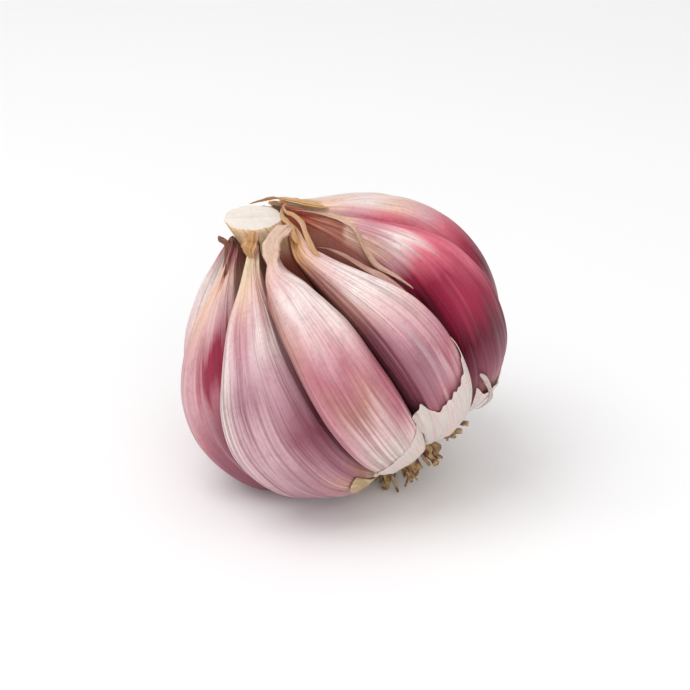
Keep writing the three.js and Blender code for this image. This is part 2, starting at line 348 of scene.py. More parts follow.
class GarlicSizes(bpy.types.PropertyGroup):
    """Depth of the detail on the surfaces"""

    rib_depth: length_property("Rib depth", 0.08, "Height of the fine ribs along a clove")
    lump_depth: length_property("Lump depth", 0.25, "Height of the broad unevenness of a clove")
    wrinkle_depth: length_property("Wrinkle depth", 0.4, "Depth of the folds in a dried tail")
    paper_thickness: length_property("Paper thickness", 0.12, "Thickness of the torn wrapper")
    root_thickness: length_property("Root thickness", 0.32, "Radius of one dried root")


class Clove(NamedTuple):
    """A clove: its form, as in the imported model, and its colours from heel to tail tip.

    A recipe such as '30 plum, 45 rose' gives places in hundredths of the length and their colours.
    """

    number: int
    start: float
    ridge: str
    left: str
    right: str
    heel_turn: float = 0
    square: tuple = (2.8, 2.8)
    plump: float = 1
    upper_back: float = 0
    gape: float = 0
    tail: tuple = (0.55, 0.5, 0)
    reach: float = 1
    sway: float = 0
    neck: float = 0.52
    keel: tuple = (0, 0)
    left_band: tuple = (-0.2, -0.55)
    right_band: tuple = (0.18, 0.5)
    hollow: float = 0
    veins: float = 0.7
    streaks: float = 1
    painted_sheen: float = 0.24
    gloss: float = 0.0
    shine: float = 0.38
    # The flank ramp is painted shade, laid over the flank band where a clove's sides turn into the
    # grooves between cloves.
    flank_shade: str = "10 clay, 30 maroon, 58 maroon, 72 bark, 90 bark"
    flank_shade_band: tuple = (0.68, 0.94)
    slot: str = "clove_skin"


CLOVES = (
    Clove(
        1, -85, square=(4, 2), plump=1.02, tail=(0.46, 0.3, 0.6), reach=0.96, veins=0.4,
        right_band=(0.12, 0.48), flank_shade_band=(0.76, 0.98),
        ridge="30 plum, 37 plum, 43 rose, 50 pink, 60 pink, 70 peach, 80 peach, 84 rose, 89 bark",
        left="30 plum, 42 pink, 55 blush, 70 ivory, 82 peach, 90 bark",
        right=(
            "34 plum, 45 plum, 52 rose, 57 crimson, 63 crimson, "
            "68 pink, 73 blush, 79 peach, 83 rose, 88 bark"
        ),
    ),
    Clove(
        2, -49, heel_turn=-4, square=(5, 2.8), plump=1.03, tail=(0.34, 0.34, 0.8), reach=0.93,
        keel=(0.14, 0.5), veins=0.9, left_band=(-0.05, -0.35), right_band=(0.1, 0.4),
        ridge=(
            "22 mauve, 30 mauve, 37 lilac, 45 lilac, 53 mauve, 59 lilac, 64 pink, "
            "68 pink, 72 peach, 78 straw, 84 straw, 88 tan, 95 bark"
        ),
        left=(
            "22 mauve, 32 lilac, 38 blush, 50 ivory, 58 ivory, "
            "66 blush, 72 peach, 78 straw, 86 straw, 92 tan"
        ),
        # Ivory at 63 in the right recipe is a painted highlight on the shoulder.
        right=(
            "20 straw, 26 clay, 33 mauve, 42 plum, 48 mauve, 56 lilac, "
            "63 ivory, 69 blush, 76 peach, 80 straw, 86 clay"
        ),
    ),
    Clove(
        3, -9, heel_turn=-2, square=(4.2, 3.6), plump=0.94, tail=(0.55, 0.5, -0.95), reach=0.86,
        sway=13, left_band=(-0.1, -0.4), right_band=(0.05, 0.4), flank_shade_band=(0.8, 1.02),
        # The ivory high in the ridge and right recipes is pale skin with a painted highlight on the
        # shoulder.
        ridge=(
            "20 paper, 31 paper, 37 blush, 43 clay, 50 rose, 55 pink, "
            "61 blush, 67 ivory, 72 blush, 79 peach, 84 straw"
        ),
        left="20 paper, 30 pink, 38 rose, 48 rose, 56 clay, 63 clay, 73 clay, 79 peach, 86 straw",
        right=(
            "20 paper, 30 blush, 36 rose, 45 rose, 50 pink, "
            "54 blush, 58 ivory, 70 ivory, 76 blush, 82 straw"
        ),
    ),
    Clove(
        4, 24, heel_turn=-2, square=(2.2, 4.8), plump=0.97, upper_back=-0.16, tail=(0.43, 0.31, -1),
        reach=0.9, sway=16, neck=0.95, keel=(-0.3, 0.4), veins=0.8, left_band=(-0.1, -0.42),
        right_band=(-0.08, 0.2),
        # The ivory high in the ridge and right recipes is pale skin with a painted highlight on the
        # shoulder.
        ridge=(
            "26 paper, 32 rose, 38 mauve, 43 mauve, 49 pink, 55 blush, "
            "61 ivory, 67 blush, 73 peach, 79 tan, 90 bark"
        ),
        # The left recipe is darker than the right: painted shade on the left side, which faces away from
        # the light.
        left="28 plum, 38 plum, 50 plum, 56 clay, 68 clay, 76 tan, 90 bark",
        right=(
            "26 paper, 33 rose, 38 pink, 42 rose, 47 pink, 53 blush, "
            "58 ivory, 66 ivory, 71 blush, 76 peach, 81 tan"
        ),
        flank_shade="10 clay, 30 plum, 50 maroon, 60 hollow, 90 bark",
    ),
    Clove(
        5, 50.5, square=(3.6, 2.2), plump=1.06, upper_back=-0.14, gape=8.5, tail=(0.3, 0.15, 0.8),
        reach=0.95, veins=0.45, streaks=0.45, painted_sheen=0.05, gloss=0.08, shine=0.22, slot="crimson_skin",
        left_band=(-0.45, -0.66), right_band=(-0.26, -0.02), hollow=0.9, flank_shade_band=(0.78, 0.98),
        # Ivory at 60 is a painted highlight: the glossy pale dome high on the clove.
        ridge=(
            "22 clay, 28 plum, 36 maroon, 43 crimson, 50 crimson, 55 coral, "
            "60 ivory, 65 pink, 69 pink, 74 peach, 82 tan"
        ),
        # Hollow at the top of the left recipe is painted shade of the hollow.
        left=(
            "24 mauve, 31 plum, 36 maroon, 48 maroon, 53 crimson, "
            "58 pink, 63 peach, 70 peach, 75 straw, 80 hollow"
        ),
        flank_shade="10 clay, 30 maroon, 56 maroon, 66 hollow, 90 hollow",
        right="20 clay, 29 plum, 36 maroon, 43 crimson, 50 coral, 64 coral, 69 rose, 76 peach, 86 tan",
    ),
    Clove(
        6, 84, heel_turn=4, square=(2.8, 4.7), plump=0.98, upper_back=0.06, tail=(0.6, 0.5, -0.2),
        reach=0.93, veins=0.45, streaks=0.7, painted_sheen=0.12, gloss=0.05, shine=0.28,
        left_band=(-0.22, -0.5), right_band=(0.0, 0.3),
        ridge=(
            "34 plum, 40 maroon, 46 crimson, 52 coral, 57 pink, "
            "64 peach, 72 ivory, 80 peach, 86 straw, 92 tan"
        ),
        left="34 plum, 40 crimson, 48 crimson, 55 coral, 63 coral, 69 pink, 75 peach, 83 straw, 90 tan",
        right="34 plum, 45 plum, 52 clay, 58 peach, 68 ivory, 80 peach, 90 straw",
    ),
    Clove(
        7, 117, square=(2.6, 3), tail=(0.55, 0.5, 0.2), reach=0.93, keel=(0.1, 0.35),
        ridge="20 paper, 30 mauve, 40 rose, 50 pink, 60 blush, 68 ivory, 82 straw, 92 tan",
        left="25 mauve, 38 plum, 50 rose, 62 pink, 72 blush, 86 straw",
        right="25 mauve, 40 rose, 55 pink, 68 ivory, 86 straw",
    ),
    Clove(
        8, 153, square=(3, 2.5), tail=(0.55, 0.6, -0.4), reach=0.93, veins=0.5, painted_sheen=0.05,
        gloss=0.12, slot="crimson_skin",
        ridge="20 clay, 28 rose, 36 crimson, 50 crimson, 58 coral, 66 pink, 76 straw, 90 tan",
        left="25 rose, 36 crimson, 55 crimson, 64 coral, 74 pink, 88 tan",
        right="25 plum, 36 maroon, 52 crimson, 62 coral, 72 pink, 88 bark",
    ),
    Clove(
        9, 194, square=(2.6, 3), tail=(0.55, 0.5, 0.5), reach=0.92, keel=(-0.12, 0.35), veins=0.9,
        ridge="20 paper, 28 blush, 38 pink, 48 mauve, 58 blush, 68 ivory, 82 straw, 92 tan",
        left="25 mauve, 38 rose, 52 pink, 66 ivory, 86 straw",
        right="25 mauve, 38 rose, 52 plum, 64 blush, 86 straw",
    ),
    Clove(
        10, 234, square=(2.8, 2.6), tail=(0.55, 0.5, -0.2), reach=0.9, veins=0.5,
        ridge="25 mauve, 36 rose, 48 pink, 60 blush, 72 ivory, 82 rose, 92 bark",
        left="25 rose, 40 crimson, 54 rose, 66 blush, 88 bark",
        right="25 mauve, 40 rose, 58 blush, 74 ivory, 88 bark",
    ),
)


class Scrap(NamedTuple):
    """A torn scrap of skin: azimuths and shares of a clove's length along its torn edge, and tints."""

    node: str
    edge: tuple
    curl: float = 0.3
    jag: float = 1
    tint: str = "paper"
    stain: str = "blush"


BASE_SCRAPS = (
    Scrap(
        "base_skin_front_left",
        ((-38, 0.1), (-30, 0.15), (-24, 0.19), (-18, 0.25), (-12.5, 0.27)),
        tint="root", stain="straw",
    ),
    Scrap(
        "base_skin_front",
        ((-10.5, 0.22), (-4, 0.25), (2, 0.26), (8, 0.27), (14, 0.28), (21, 0.31)),
        -0.2, 0.3,
    ),
    Scrap(
        "base_skin_right",
        ((21.5, 0.33), (24, 0.335), (27, 0.347), (28.5, 0.312), (31, 0.31), (34, 0.327), (38, 0.325),
         (43, 0.345), (47, 0.38), (49, 0.41)),
    ),
    Scrap(
        "base_skin_far_right",
        ((51.5, 0.28), (54, 0.25), (60, 0.26), (66, 0.22), (76, 0.235), (83, 0.2), (90, 0.21)),
        0.6,
    ),
    Scrap(
        "base_skin_back",
        ((116, 0.2), (124, 0.27), (131, 0.22), (140, 0.29), (148, 0.24), (155, 0.3), (161, 0.22)),
        0.6,
    ),
    Scrap(
        "base_skin_back_left",
        ((184, 0.18), (192, 0.25), (200, 0.2), (208, 0.27), (215, 0.22), (223, 0.2)),
        0.6,
    ),
)


class Ribbon(NamedTuple):
    """A dried strip: its route as azimuth, share of a clove's length and lift, its section and tints."""

    name: str
    route: tuple
    width: float
    depth: float
    turn: float
    tint: str
    stain: str
    taper: float = 1
    node: str = ""


BASE_RIBBONS = (
    Ribbon(
        "peeled_strip",
        ((52.4, 0.203, 0), (54.2, 0.208, 0.8), (56.2, 0.219, 1.2), (56.7, 0.234, 1.4),
         (55.8, 0.252, 1.2), (54.6, 0.271, 0.6), (53.4, 0.29, -0.1), (51.8, 0.302, -0.4)),
        0.7, 0.3, 30, "paper", "blush",
    ),
)
NECK_RIBBONS = (
    Ribbon(
        "tan_strip",
        ((62, 0.93, 0.8), (46, 0.872, 1.4), (49, 0.84, 1.4), (48, 0.808, 1.2), (42, 0.78, 0.6),
         (38, 0.758, -0.4), (36, 0.735, -1.6)),
        0.9, 0.7, 10, "tan", "peach", 0.8, "neck_skin_right",
    ),
    Ribbon(
        "golden_fold",
        ((95, 0.73, -1.4), (93, 0.78, -0.3), (93, 0.825, 0.2), (95, 0.86, 0.4), (106, 0.885, 0.4),
         (128, 0.905, 0.6), (158, 0.905, 0.9), (187, 0.897, 1.7)),
        4, 0.7, 15, "gold", "straw", 0.2, "neck_skin_back",
    ),
    Ribbon(
        "far_strip",
        ((180, 0.8, 0.3), (186, 0.85, 0.6), (196, 0.89, 0.9), (206, 0.93, 1)),
        2.4, 0.5, 15, "tan", "straw", 0.6, "neck_skin_far",
    ),
    Ribbon(
        "inner_fold",
        ((58, 0.92, 0.4), (40, 0.875, 0.8), (39, 0.84, 0.9), (36, 0.815, 0.5), (34, 0.79, -0.6)),
        0.9, 0.6, 10, "gold", "peach",
    ),
    Ribbon(
        "hooked_tail",
        ((1, 0.74, -2), (4, 0.78, -0.9), (7, 0.808, -0.4), (11, 0.825, 0.1), (18, 0.834, 0.6),
         (28, 0.834, 0.8), (39, 0.831, 0.4)),
        2.4, 1.7, 0, "peach", "straw",
    ),
    Ribbon(
        "dry_knob",
        ((-17.5, 0.815, -0.8), (-17, 0.845, 0.2), (-15.5, 0.865, 0.6), (-15, 0.885, 0.7),
         (-15.5, 0.908, 0.3)),
        2.3, 2, 0, "tan", "bark",
    ),
    Ribbon(
        "withered_tail",
        ((-57, 0.77, -1.6), (-58.5, 0.81, -0.4), (-61, 0.85, 0.2), (-66, 0.885, 0.7),
         (-77, 0.9, 1.2), (-90, 0.9, 1.7)),
        1.8, 0.9, 0, "bark", "hollow", 0.5,
    ),
    Ribbon(
        "rolled_rim",
        ((70, 0.87, 0), (80, 0.81, -0.4), (76.7, 0.756, -0.8), (74, 0.734, -1.2),
         (71.5, 0.714, -2), (69, 0.697, -3.8), (65.8, 0.674, -5.5), (62.9, 0.647, -6.5),
         (59.6, 0.59, -6.1), (56.9, 0.533, -5.4)),
        1.5, 0.7, 20, "peach", "gold",
    ),
    Ribbon(
        "hollow_membrane",
        ((50, 0.78, -3.4), (53, 0.758, -3.6), (52, 0.729, -3.7), (50.5, 0.693, -3.7),
         (49, 0.661, -3.6), (48.5, 0.613, -3.4), (48, 0.55, -3.2), (48, 0.5, -3)),
        3, 0.4, 46, "clay", "peach", 0.6,
    ),
)


# Forms

def bulb_axes():
    """Origin under the root plate, and the upright bulb's right, back and up, from the frame."""
    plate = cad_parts["root_plate"].data
    points = np.unique(np.round([vertex.co for vertex in plate.vertices], 6), axis=0)
    centre = points.mean(axis=0)
    directions = np.linalg.svd(points - centre)[2]
    up = directions[2] * np.sign(directions[2][2])
    back = np.array((0.0, 1.0, 0.0))
    right = np.cross(back, up)
    origin = centre + up * ((points - centre) @ up).min()
    return origin, np.stack((right, back, up))


ORIGIN, AXES = bulb_axes()


def in_row(points):
    """Points of the upright bulb in millimetres as points of the leaning one in metres, on the table."""
    placed = ORIGIN + MM * np.asarray(points) @ AXES
    placed[..., 2] = np.maximum(placed[..., 2], 0)
    return placed


def smooth_step(value, low, high):
    share = np.clip((value - low) / (high - low), 0, 1)
    return share * share * (3 - 2 * share)


def swell(along, stretch):
    """Rises from 0 to 1 and falls back over a stretch of a clove's length."""
    start, full, until, gone = stretch
    return smooth_step(along, start, full) * (1 - smooth_step(along, until, gone))


def signed_power(value, power):
    return np.sign(value) * np.abs(value) ** power


def unit(vectors):
    return vectors / np.maximum(np.linalg.norm(vectors, axis=-1, keepdims=True), 1e-9)


def spline(points, share):
    """The curve through points, with an equal share of its length between each two."""
    points = np.asarray(points, float)
    padded = np.vstack((points[:1], points, points[-1:]))
    place = np.clip(share, 0, 1) * (len(points) - 1)
    first = np.minimum(place.astype(int), len(points) - 2)
    t = (place - first)[..., None]
    a, b, c, d = (padded[first + i] for i in range(4))
    return b + t * (c - a) / 2 + t**2 * (a - 2.5 * b + 2 * c - d / 2) + t**3 * (3 * (b - c) + d - a) / 2


def ripple(x, y, seed):
    """Smooth noise from -1 to 1 with one bump a unit."""
    lattice = np.random.default_rng(seed).uniform(-1, 1, (LATTICE, LATTICE))
    x, y = np.broadcast_arrays(x, y)
    left = np.floor(x).astype(int)
    low = np.floor(y).astype(int)
    u = smooth_step(x - left, 0, 1)
    v = smooth_step(y - low, 0, 1)

    def corner(i, j):
        return lattice[(left + i) % LATTICE, (low + j) % LATTICE]

    bottom = corner(0, 0) * (1 - u) + corner(1, 0) * u
    top = corner(0, 1) * (1 - u) + corner(1, 1) * u
    return bottom * (1 - v) + top * v


def layered(layers, seed, x, y=0):
    """Smooth noise in layers, each with its own seed."""
    total = 0
    for number, (strength, over_x, over_y) in enumerate(layers):
        total = total + strength * ripple(x * over_x, y * over_y, seed + number)
    return total


def on_bulb(radius, azimuth, height):
    """Points at a radius, an azimuth in degrees from the front and a height."""
    angle = np.radians(azimuth)
    return np.stack(np.broadcast_arrays(radius * np.sin(angle), -radius * np.cos(angle), height), axis=-1)


def swept(azimuth, along):
    """Azimuth after the sweep of the tails round the stalk."""
    strength = 0.5 + 0.5 * np.cos(np.radians(azimuth - TWIST_MOST_AT))
    return azimuth + TAIL_TWIST * strength * smooth_step(along, TWIST_FROM, 1)


def rounded_end(distance, rounding):
    left = np.clip(1 - distance / rounding, 0, 1)
    return np.sqrt(1 - left * left)


def neighbour(clove):
    """The clove to the right of one."""
    if clove.number < len(CLOVES):
        return CLOVES[clove.number]
    return CLOVES[0]._replace(start=CLOVES[0].start + 360)


def side_of(clove, along):
    """Azimuth of the side between a clove and the one to its left."""
    return clove.start + clove.heel_turn * (1 - smooth_step(along, 0, HEEL_TURN_UNTIL))


def swollen_section(clove, along, depth):
    """Radius and height at a share of the depth from the inner edge of a clove to its swollen back."""
    swelling = 1 + (clove.plump - 1) * swell(along, BELLY) + clove.upper_back * swell(along, UPPER_BACK)
    inner = spline(INNER_PROFILE, along)
    return inner + (depth * swelling)[..., None] * (spline(BACK_PROFILE, along) - inner)


def clove_surface(clove, around, share):
    """Points of a clove in the upright bulb by angle round its section and share of its length."""
    side = -np.cos(around)
    outward = np.sin(around)
    shoulder = np.where(side < 0, *clove.square)
    power = 2 / np.where(outward > 0, shoulder, INNER_SQUARENESS)
    closing = rounded_end(share, HEEL_ROUNDING) * rounded_end(1 - share, TIP_ROUNDING)
    across = signed_power(side, power) * closing
    depth = 0.5 + 0.5 * signed_power(outward, power) * closing
    along = share * clove.reach
    section = swollen_section(clove, along, depth)
    radius = section[..., 0]
    left = side_of(clove, along) + clove.gape * swell(along, GAPE)
    half = (side_of(neighbour(clove), along) - left) / 2
    room = half - np.degrees(GAP / 2 / radius)
    tail_from, tail_width, tail_lean = clove.tail
    spare = (1 - tail_width) * smooth_step(along, tail_from, 1)
    width = (1 - spare) * (1 - (1 - clove.neck) * smooth_step(along, *NECK_STRETCH))
    sway = clove.sway * smooth_step(along, *SWAY_STRETCH)
    azimuth = left + half + sway + room * (tail_lean * (1 - width) + across * width)
    return on_bulb(radius, swept(azimuth, along), section[..., 1])


def section_samples(clove):
    """Angles evenly spaced along a clove's section, and places across: 0 on its ridge, 1 at a side."""
    around = np.linspace(-math.pi / 2, 1.5 * math.pi, SECTION_SAMPLES)
    points = clove_surface(clove, around, np.full_like(around, REFERENCE_STATION))
    steps = np.linalg.norm(np.diff(points, axis=0), axis=1)
    arc = np.concatenate(((0,), np.cumsum(steps)))
    weight = np.where(np.sin((around[1:] + around[:-1]) / 2) > 0, 1, INNER_SHARE)
    spread = np.concatenate(((0,), np.cumsum(steps * weight)))
    wanted = np.linspace(0, spread[-1], CLOVE_ROUND, endpoint=False)
    chosen = np.interp(wanted, spread, around)
    left, ridge, right = (np.interp(angle, around, arc) for angle in (0, math.pi / 2, math.pi))
    place = np.interp(chosen, around, arc)
    half = np.where(place < ridge, ridge - left, right - ridge)
    across = (place - ridge) / half
    return chosen, across


def outward_normals(points):
    """Normals of a grid of points, rows along and columns round."""
    along = np.gradient(points, axis=0)
    round_ = np.roll(points, -1, axis=1) - np.roll(points, 1, axis=1)
    return unit(np.cross(round_, along))


def skin_relief(clove, along, across, sizes):
    """Height in millimetres of the keel, ribs, lumps and dried folds over a clove."""
    seed = clove.number * CLOVE_SEED_STEP
    drift = across + layered(DRIFT, seed, across, along)
    ribs = layered(RIBS, seed + 1, drift, along)
    lumps = layered(LUMPS, seed + 3, across, along)
    folds = layered(SLANTING_FOLDS, seed + 5, across + FOLD_SLANT * along, along)
    folds = folds + layered(STRAIGHT_FOLDS, seed + 6, drift, along)
    keel_at, keel_height = clove.keel
    from_keel = np.abs(across - keel_at + layered(KEEL_WANDER, seed + 7, along))
    crest = np.clip(1 - from_keel / KEEL_HALF_WIDTH, 0, 1) ** KEEL_SHARPNESS
    keel = keel_height * crest * swell(along, KEEL_STRETCH)
    ribbed = swell(along, RIBBED_STRETCH) * (sizes.rib_depth * ribs + sizes.lump_depth * lumps)
    folded = smooth_step(along, *FOLDED_STRETCH) * sizes.wrinkle_depth * folds
    fading = 1 - smooth_step(np.abs(across), *RELIEF_EDGE)
    return fading * (keel + (ribbed + folded) / MM)


def bent_mesh(name, points, faces, attributes=None):
    """A smooth piece from points in metres and faces, with one number a point for each attribute."""
    mesh = bpy.data.meshes.new(name)
    mesh.from_pydata(np.asarray(points).reshape(-1, 3).tolist(), [], faces)
    for key, values in (attributes or {}).items():
        layer = mesh.attributes.new(key, "FLOAT", "POINT")
        layer.data.foreach_set("value", np.asarray(values, np.float32).ravel())
    mesh.validate()
    mesh.shade_smooth()
    piece = bpy.data.objects.new(name, mesh)
    bpy.context.scene.collection.objects.link(piece)
    return piece


def grid_faces(rows, columns, closed, offset=0):
    """Quads of a grid, joined round its columns if closed."""
    faces = []
    for row in range(rows - 1):
        for column in range(columns if closed else columns - 1):
            right = (column + 1) % columns
            low = offset + row * columns
            high = low + columns
            faces.append((low + column, low + right, high + right, high + column))
    return faces


def fan_faces(centre, first, columns, flipped):
    """Triangles from a centre point to a closed ring."""
    ring = [(first + i, first + (i + 1) % columns) for i in range(columns)]
    return [(centre, b, a) if flipped else (centre, a, b) for a, b in ring]


def closed_faces(rows, columns, offset=0):
    """Faces of a tube whose two end points follow its rings."""
    foot = offset + rows * columns
    faces = grid_faces(rows, columns, True, offset)
    faces += fan_faces(foot, offset, columns, True)
    faces += fan_faces(foot + 1, offset + (rows - 1) * columns, columns, False)
    return faces


def with_ends(grid):
    """The points of a tube followed by the middles of its two ends."""
    return np.vstack((grid.reshape(-1, 3), grid[0].mean(axis=0), grid[-1].mean(axis=0)))


# Sheets

def wrapped_section(azimuth, along, bridge):
    """Radius and height of a sheet that hugs the cloves and bridges the grooves between them."""
    section = np.zeros((*along.shape, 2))
    for clove in CLOVES:
        left = side_of(clove, along)
        width = side_of(neighbour(clove), along) - left
        place = (azimuth - left) % 360
        across = np.clip(2 * place / width - 1, -1, 1)
        shoulder = np.where(across < 0, *clove.square)
        depth = 0.5 + 0.5 * (1 - np.abs(across) ** shoulder) ** (1 / shoulder)
        hugging = swollen_section(clove, along, np.maximum(depth, bridge))
        section = np.where((place <= width)[..., None], hugging, section)
    return section


def smoothed_across(values, reach):
    """Evens out a grid's columns over a reach on both sides."""
    padded = np.pad(values, ((0, 0), (reach, reach), (0, 0)), mode="edge")
    columns = values.shape[1]
    return sum(padded[:, i:i + columns] for i in range(2 * reach + 1)) / (2 * reach + 1)


def profile_normal(along):
    """Outward direction of the backs of the cloves, as radius and height."""
    ahead = spline(BACK_PROFILE, along + PROFILE_STEP)
    tangent = unit(ahead - spline(BACK_PROFILE, along - PROFILE_STEP))
    return np.stack((tangent[..., 1], -tangent[..., 0]), axis=-1)


def scrap_points(scrap, seed):
    """A torn sheet over the cloves that lifts towards its torn edge, with its shares up and across."""
    share = np.linspace(0, 1, SCRAP_COLUMNS)[None, :]
    up = np.linspace(0, 1, SCRAP_ROWS)[:, None]
    start, end = scrap.edge[0][0], scrap.edge[-1][0]
    azimuth = start + (end - start) * share
    tear = scrap.jag * layered(TEARS, seed + 1, azimuth)
    high = np.interp(azimuth, *zip(*scrap.edge)) + tear
    along = SCRAP_LOW + (high - SCRAP_LOW) * up
    azimuth = azimuth + layered(FRAYS, seed + 4, 0 * up, up) * (2 * share - 1)
    section = smoothed_across(wrapped_section(azimuth, along, GROOVE_BRIDGE), SCRAP_BLUR)
    crumple = layered(CRUMPLES, seed + 5, azimuth, up)
    curl = scrap.curl * up**CURL_SHARPNESS * (CURL_EVENNESS + layered(CURL_WAVES, seed + 7, azimuth))
    offset = SCRAP_LIFT + crumple + curl
    section = section + offset[..., None] * profile_normal(along)
    points = on_bulb(section[..., 0], swept(azimuth, along), section[..., 1])
    return points, up + 0 * share, share + 0 * up


def thin_sheet(name, points, attributes, thickness):
    """A smooth sheet of a real thickness from a grid of points."""
    rows, columns = points.shape[:2]
    piece = bent_mesh(name, in_row(points), grid_faces(rows, columns, False), attributes)
    thicken = piece.modifiers.new("thickness", "SOLIDIFY")
    thicken.thickness = thickness
    thicken.offset = 0
    return piece


def ribbon_rings(ribbon, seed):
    """Rings of a crinkled cord along its route, closing at its ends, and the shares of its length."""
    share = np.linspace(0, 1, RIBBON_ROWS)
    azimuth, along, lift = np.moveaxis(spline(ribbon.route, share), -1, 0)
    normal = profile_normal(along)
    section = spline(BACK_PROFILE, along) + lift[:, None] * normal
    turned = swept(azimuth, along)
    path = on_bulb(section[:, 0], turned, section[:, 1])
    outward = on_bulb(normal[:, 0], turned, normal[:, 1])
    forward = unit(np.gradient(path, axis=0))
    beside = unit(np.cross(forward, outward))
    outward = np.cross(beside, forward)
    turn = np.radians(ribbon.turn + layered(RIBBON_WAVER, seed, share))
    flat = np.cos(turn)[:, None] * beside + np.sin(turn)[:, None] * outward
    raised = np.cos(turn)[:, None] * outward - np.sin(turn)[:, None] * beside

    around = np.linspace(0, 2 * math.pi, RIBBON_ROUND, endpoint=False)[None, :]
    closing = smooth_step(share, *RIBBON_START) * rounded_end(1 - share, RIBBON_END)
    closing = closing * (1 + (ribbon.taper - 1) * share)
    ragged = 1 + layered(RIBBON_EDGES, seed + 1, share)
    down = share[:, None]
    slant_x, slant_y = RIDGE_SLANT
    ridge_x = np.cos(around) + slant_x * down
    ridge_y = np.sin(around) + slant_y * down
    ridges = layered(RIBBON_RIDGES, seed + 2, ridge_x, ridge_y)
    crinkle = 1 + ridges + layered(RIBBON_CRINKLES, seed + 3, down, np.cos(around))
    half_width = (ribbon.width / 2 * closing * ragged)[:, None] * crinkle
    half_depth = (ribbon.depth / 2 * closing)[:, None] * crinkle
    sideways = half_width * np.cos(around)
    cup = RIBBON_CUP * (half_width - half_depth) * np.cos(around) ** 2
    upwards = half_depth * np.sin(around) + cup
    rings = path[:, None] + sideways[..., None] * flat[:, None] + upwards[..., None] * raised[:, None]
    return rings, share, around[0]


# Materials

MIX_FACTOR, MIX_A, MIX_B, MIX_RESULT = 0, 6, 7, 2


class Value:
    """What a socket gives inside a material. Arithmetic on it adds Math nodes."""

    def __init__(self, finish, socket):
        self.finish = finish
        self.socket = socket

    def __add__(self, other):
        return self.finish.math("ADD", self, other)

    def __radd__(self, other):
        return self.finish.math("ADD", other, self)

    def __sub__(self, other):
        return self.finish.math("SUBTRACT", self, other)

    def __mul__(self, other):
        return self.finish.math("MULTIPLY", self, other)

    def __rmul__(self, other):
        return self.finish.math("MULTIPLY", other, self)

    def __abs__(self):
        return self.finish.math("ABSOLUTE", self, 0.0)


class Finish:
    """A material and the nodes that make it."""

    def __init__(self, name):
        self.material = bpy.data.materials.new(name)
        self.material.use_nodes = True
        self.tree = self.material.node_tree
        self.tree.nodes.clear()

    def node(self, kind, settings=None, sockets=None, output=0):
        """Adds a node with settings and the values or links of its sockets. Gives one of its outputs."""
        node = self.tree.nodes.new(kind)
        for key, value in (settings or {}).items():
            if key == "stops":
                ramp = node.color_ramp.elements
                while len(ramp) < len(value):
                    ramp.new(1)
                for element, (place, colour) in zip(ramp, value):
                    element.position = place
                    element.color = (*colour, 1)
            else:
                setattr(node, key, value)
        for key, value in (sockets or {}).items():
            if isinstance(value, Value):
                self.tree.links.new(value.socket, node.inputs[key])
            else:
                node.inputs[key].default_value = value
        return Value(self, node.outputs[output]) if node.outputs else None

    def math(self, operation, first, second):
        return self.node("ShaderNodeMath", {"operation": operation}, {0: first, 1: second})

    def attribute(self, name):
        return self.node("ShaderNodeAttribute", {"attribute_name": name}, output="Fac")

    def noise(self, grain, x, y):
        """Noise over two coordinates, from 0 to 1."""
        place = self.node("ShaderNodeCombineXYZ", None, {"X": x * grain.across, "Y": y * grain.along})
        sockets = {"Vector": place, "Scale": 1.0, "Detail": grain.detail, "Roughness": grain.roughness}
        return self.node("ShaderNodeTexNoise", {"noise_dimensions": "2D"}, sockets)

    def solid_noise(self, scale, detail=3.0):
        """Noise through space, in bumps a metre."""
        place = self.node("ShaderNodeTexCoord", output="Object")
        return self.node("ShaderNodeTexNoise", None, {"Vector": place, "Scale": scale, "Detail": detail})

    def step(self, value, low, high):
        """0 below low, 1 above high and smooth between."""
        sockets = {"Value": value, "From Min": low, "From Max": high}
        return self.node("ShaderNodeMapRange", {"interpolation_type": "SMOOTHSTEP"}, sockets)

    def ramp(self, value, stops):
        return self.node("ShaderNodeValToRGB", {"stops": stops}, {"Fac": value})

    def mix(self, factor, first, second):
        first, second = (part if isinstance(part, Value) else (*part, 1) for part in (first, second))
        sockets = {MIX_FACTOR: factor, MIX_A: first, MIX_B: second}
        return self.node("ShaderNodeMix", {"data_type": "RGBA"}, sockets, MIX_RESULT)

    def marked(self, colour, tint, mark, value, within=1):
        """A colour with a tint laid over it where a value reaches a mark."""
        strength = self.step(value, mark.begins, mark.full) * (mark.strength * within)
        return self.mix(strength, colour, tint)

    def bump(self, height, distance, strength):
        sockets = {"Height": height, "Distance": distance, "Strength": strength}
        return self.node("ShaderNodeBump", None, sockets)

    def surface(self, **sockets):
        """Ends the material in a Principled shader. Names use _ for spaces."""
        named = {key.replace("_", " "): value for key, value in sockets.items()}
        shader = self.node("ShaderNodeBsdfPrincipled", None, named)
        self.node("ShaderNodeOutputMaterial", None, {"Surface": shader})
        return self.material


def uneven(noise, depth):
    """Noise from 0 to 1 as a shift to both sides."""
    return depth * (noise - 0.5)


def stops(recipe, colours):
    """Places and colours of a ramp from a clove's recipe."""
    pairs = [part.split() for part in recipe.split(",")]
    return [(int(place) / 100, getattr(colours, name)) for place, name in pairs]


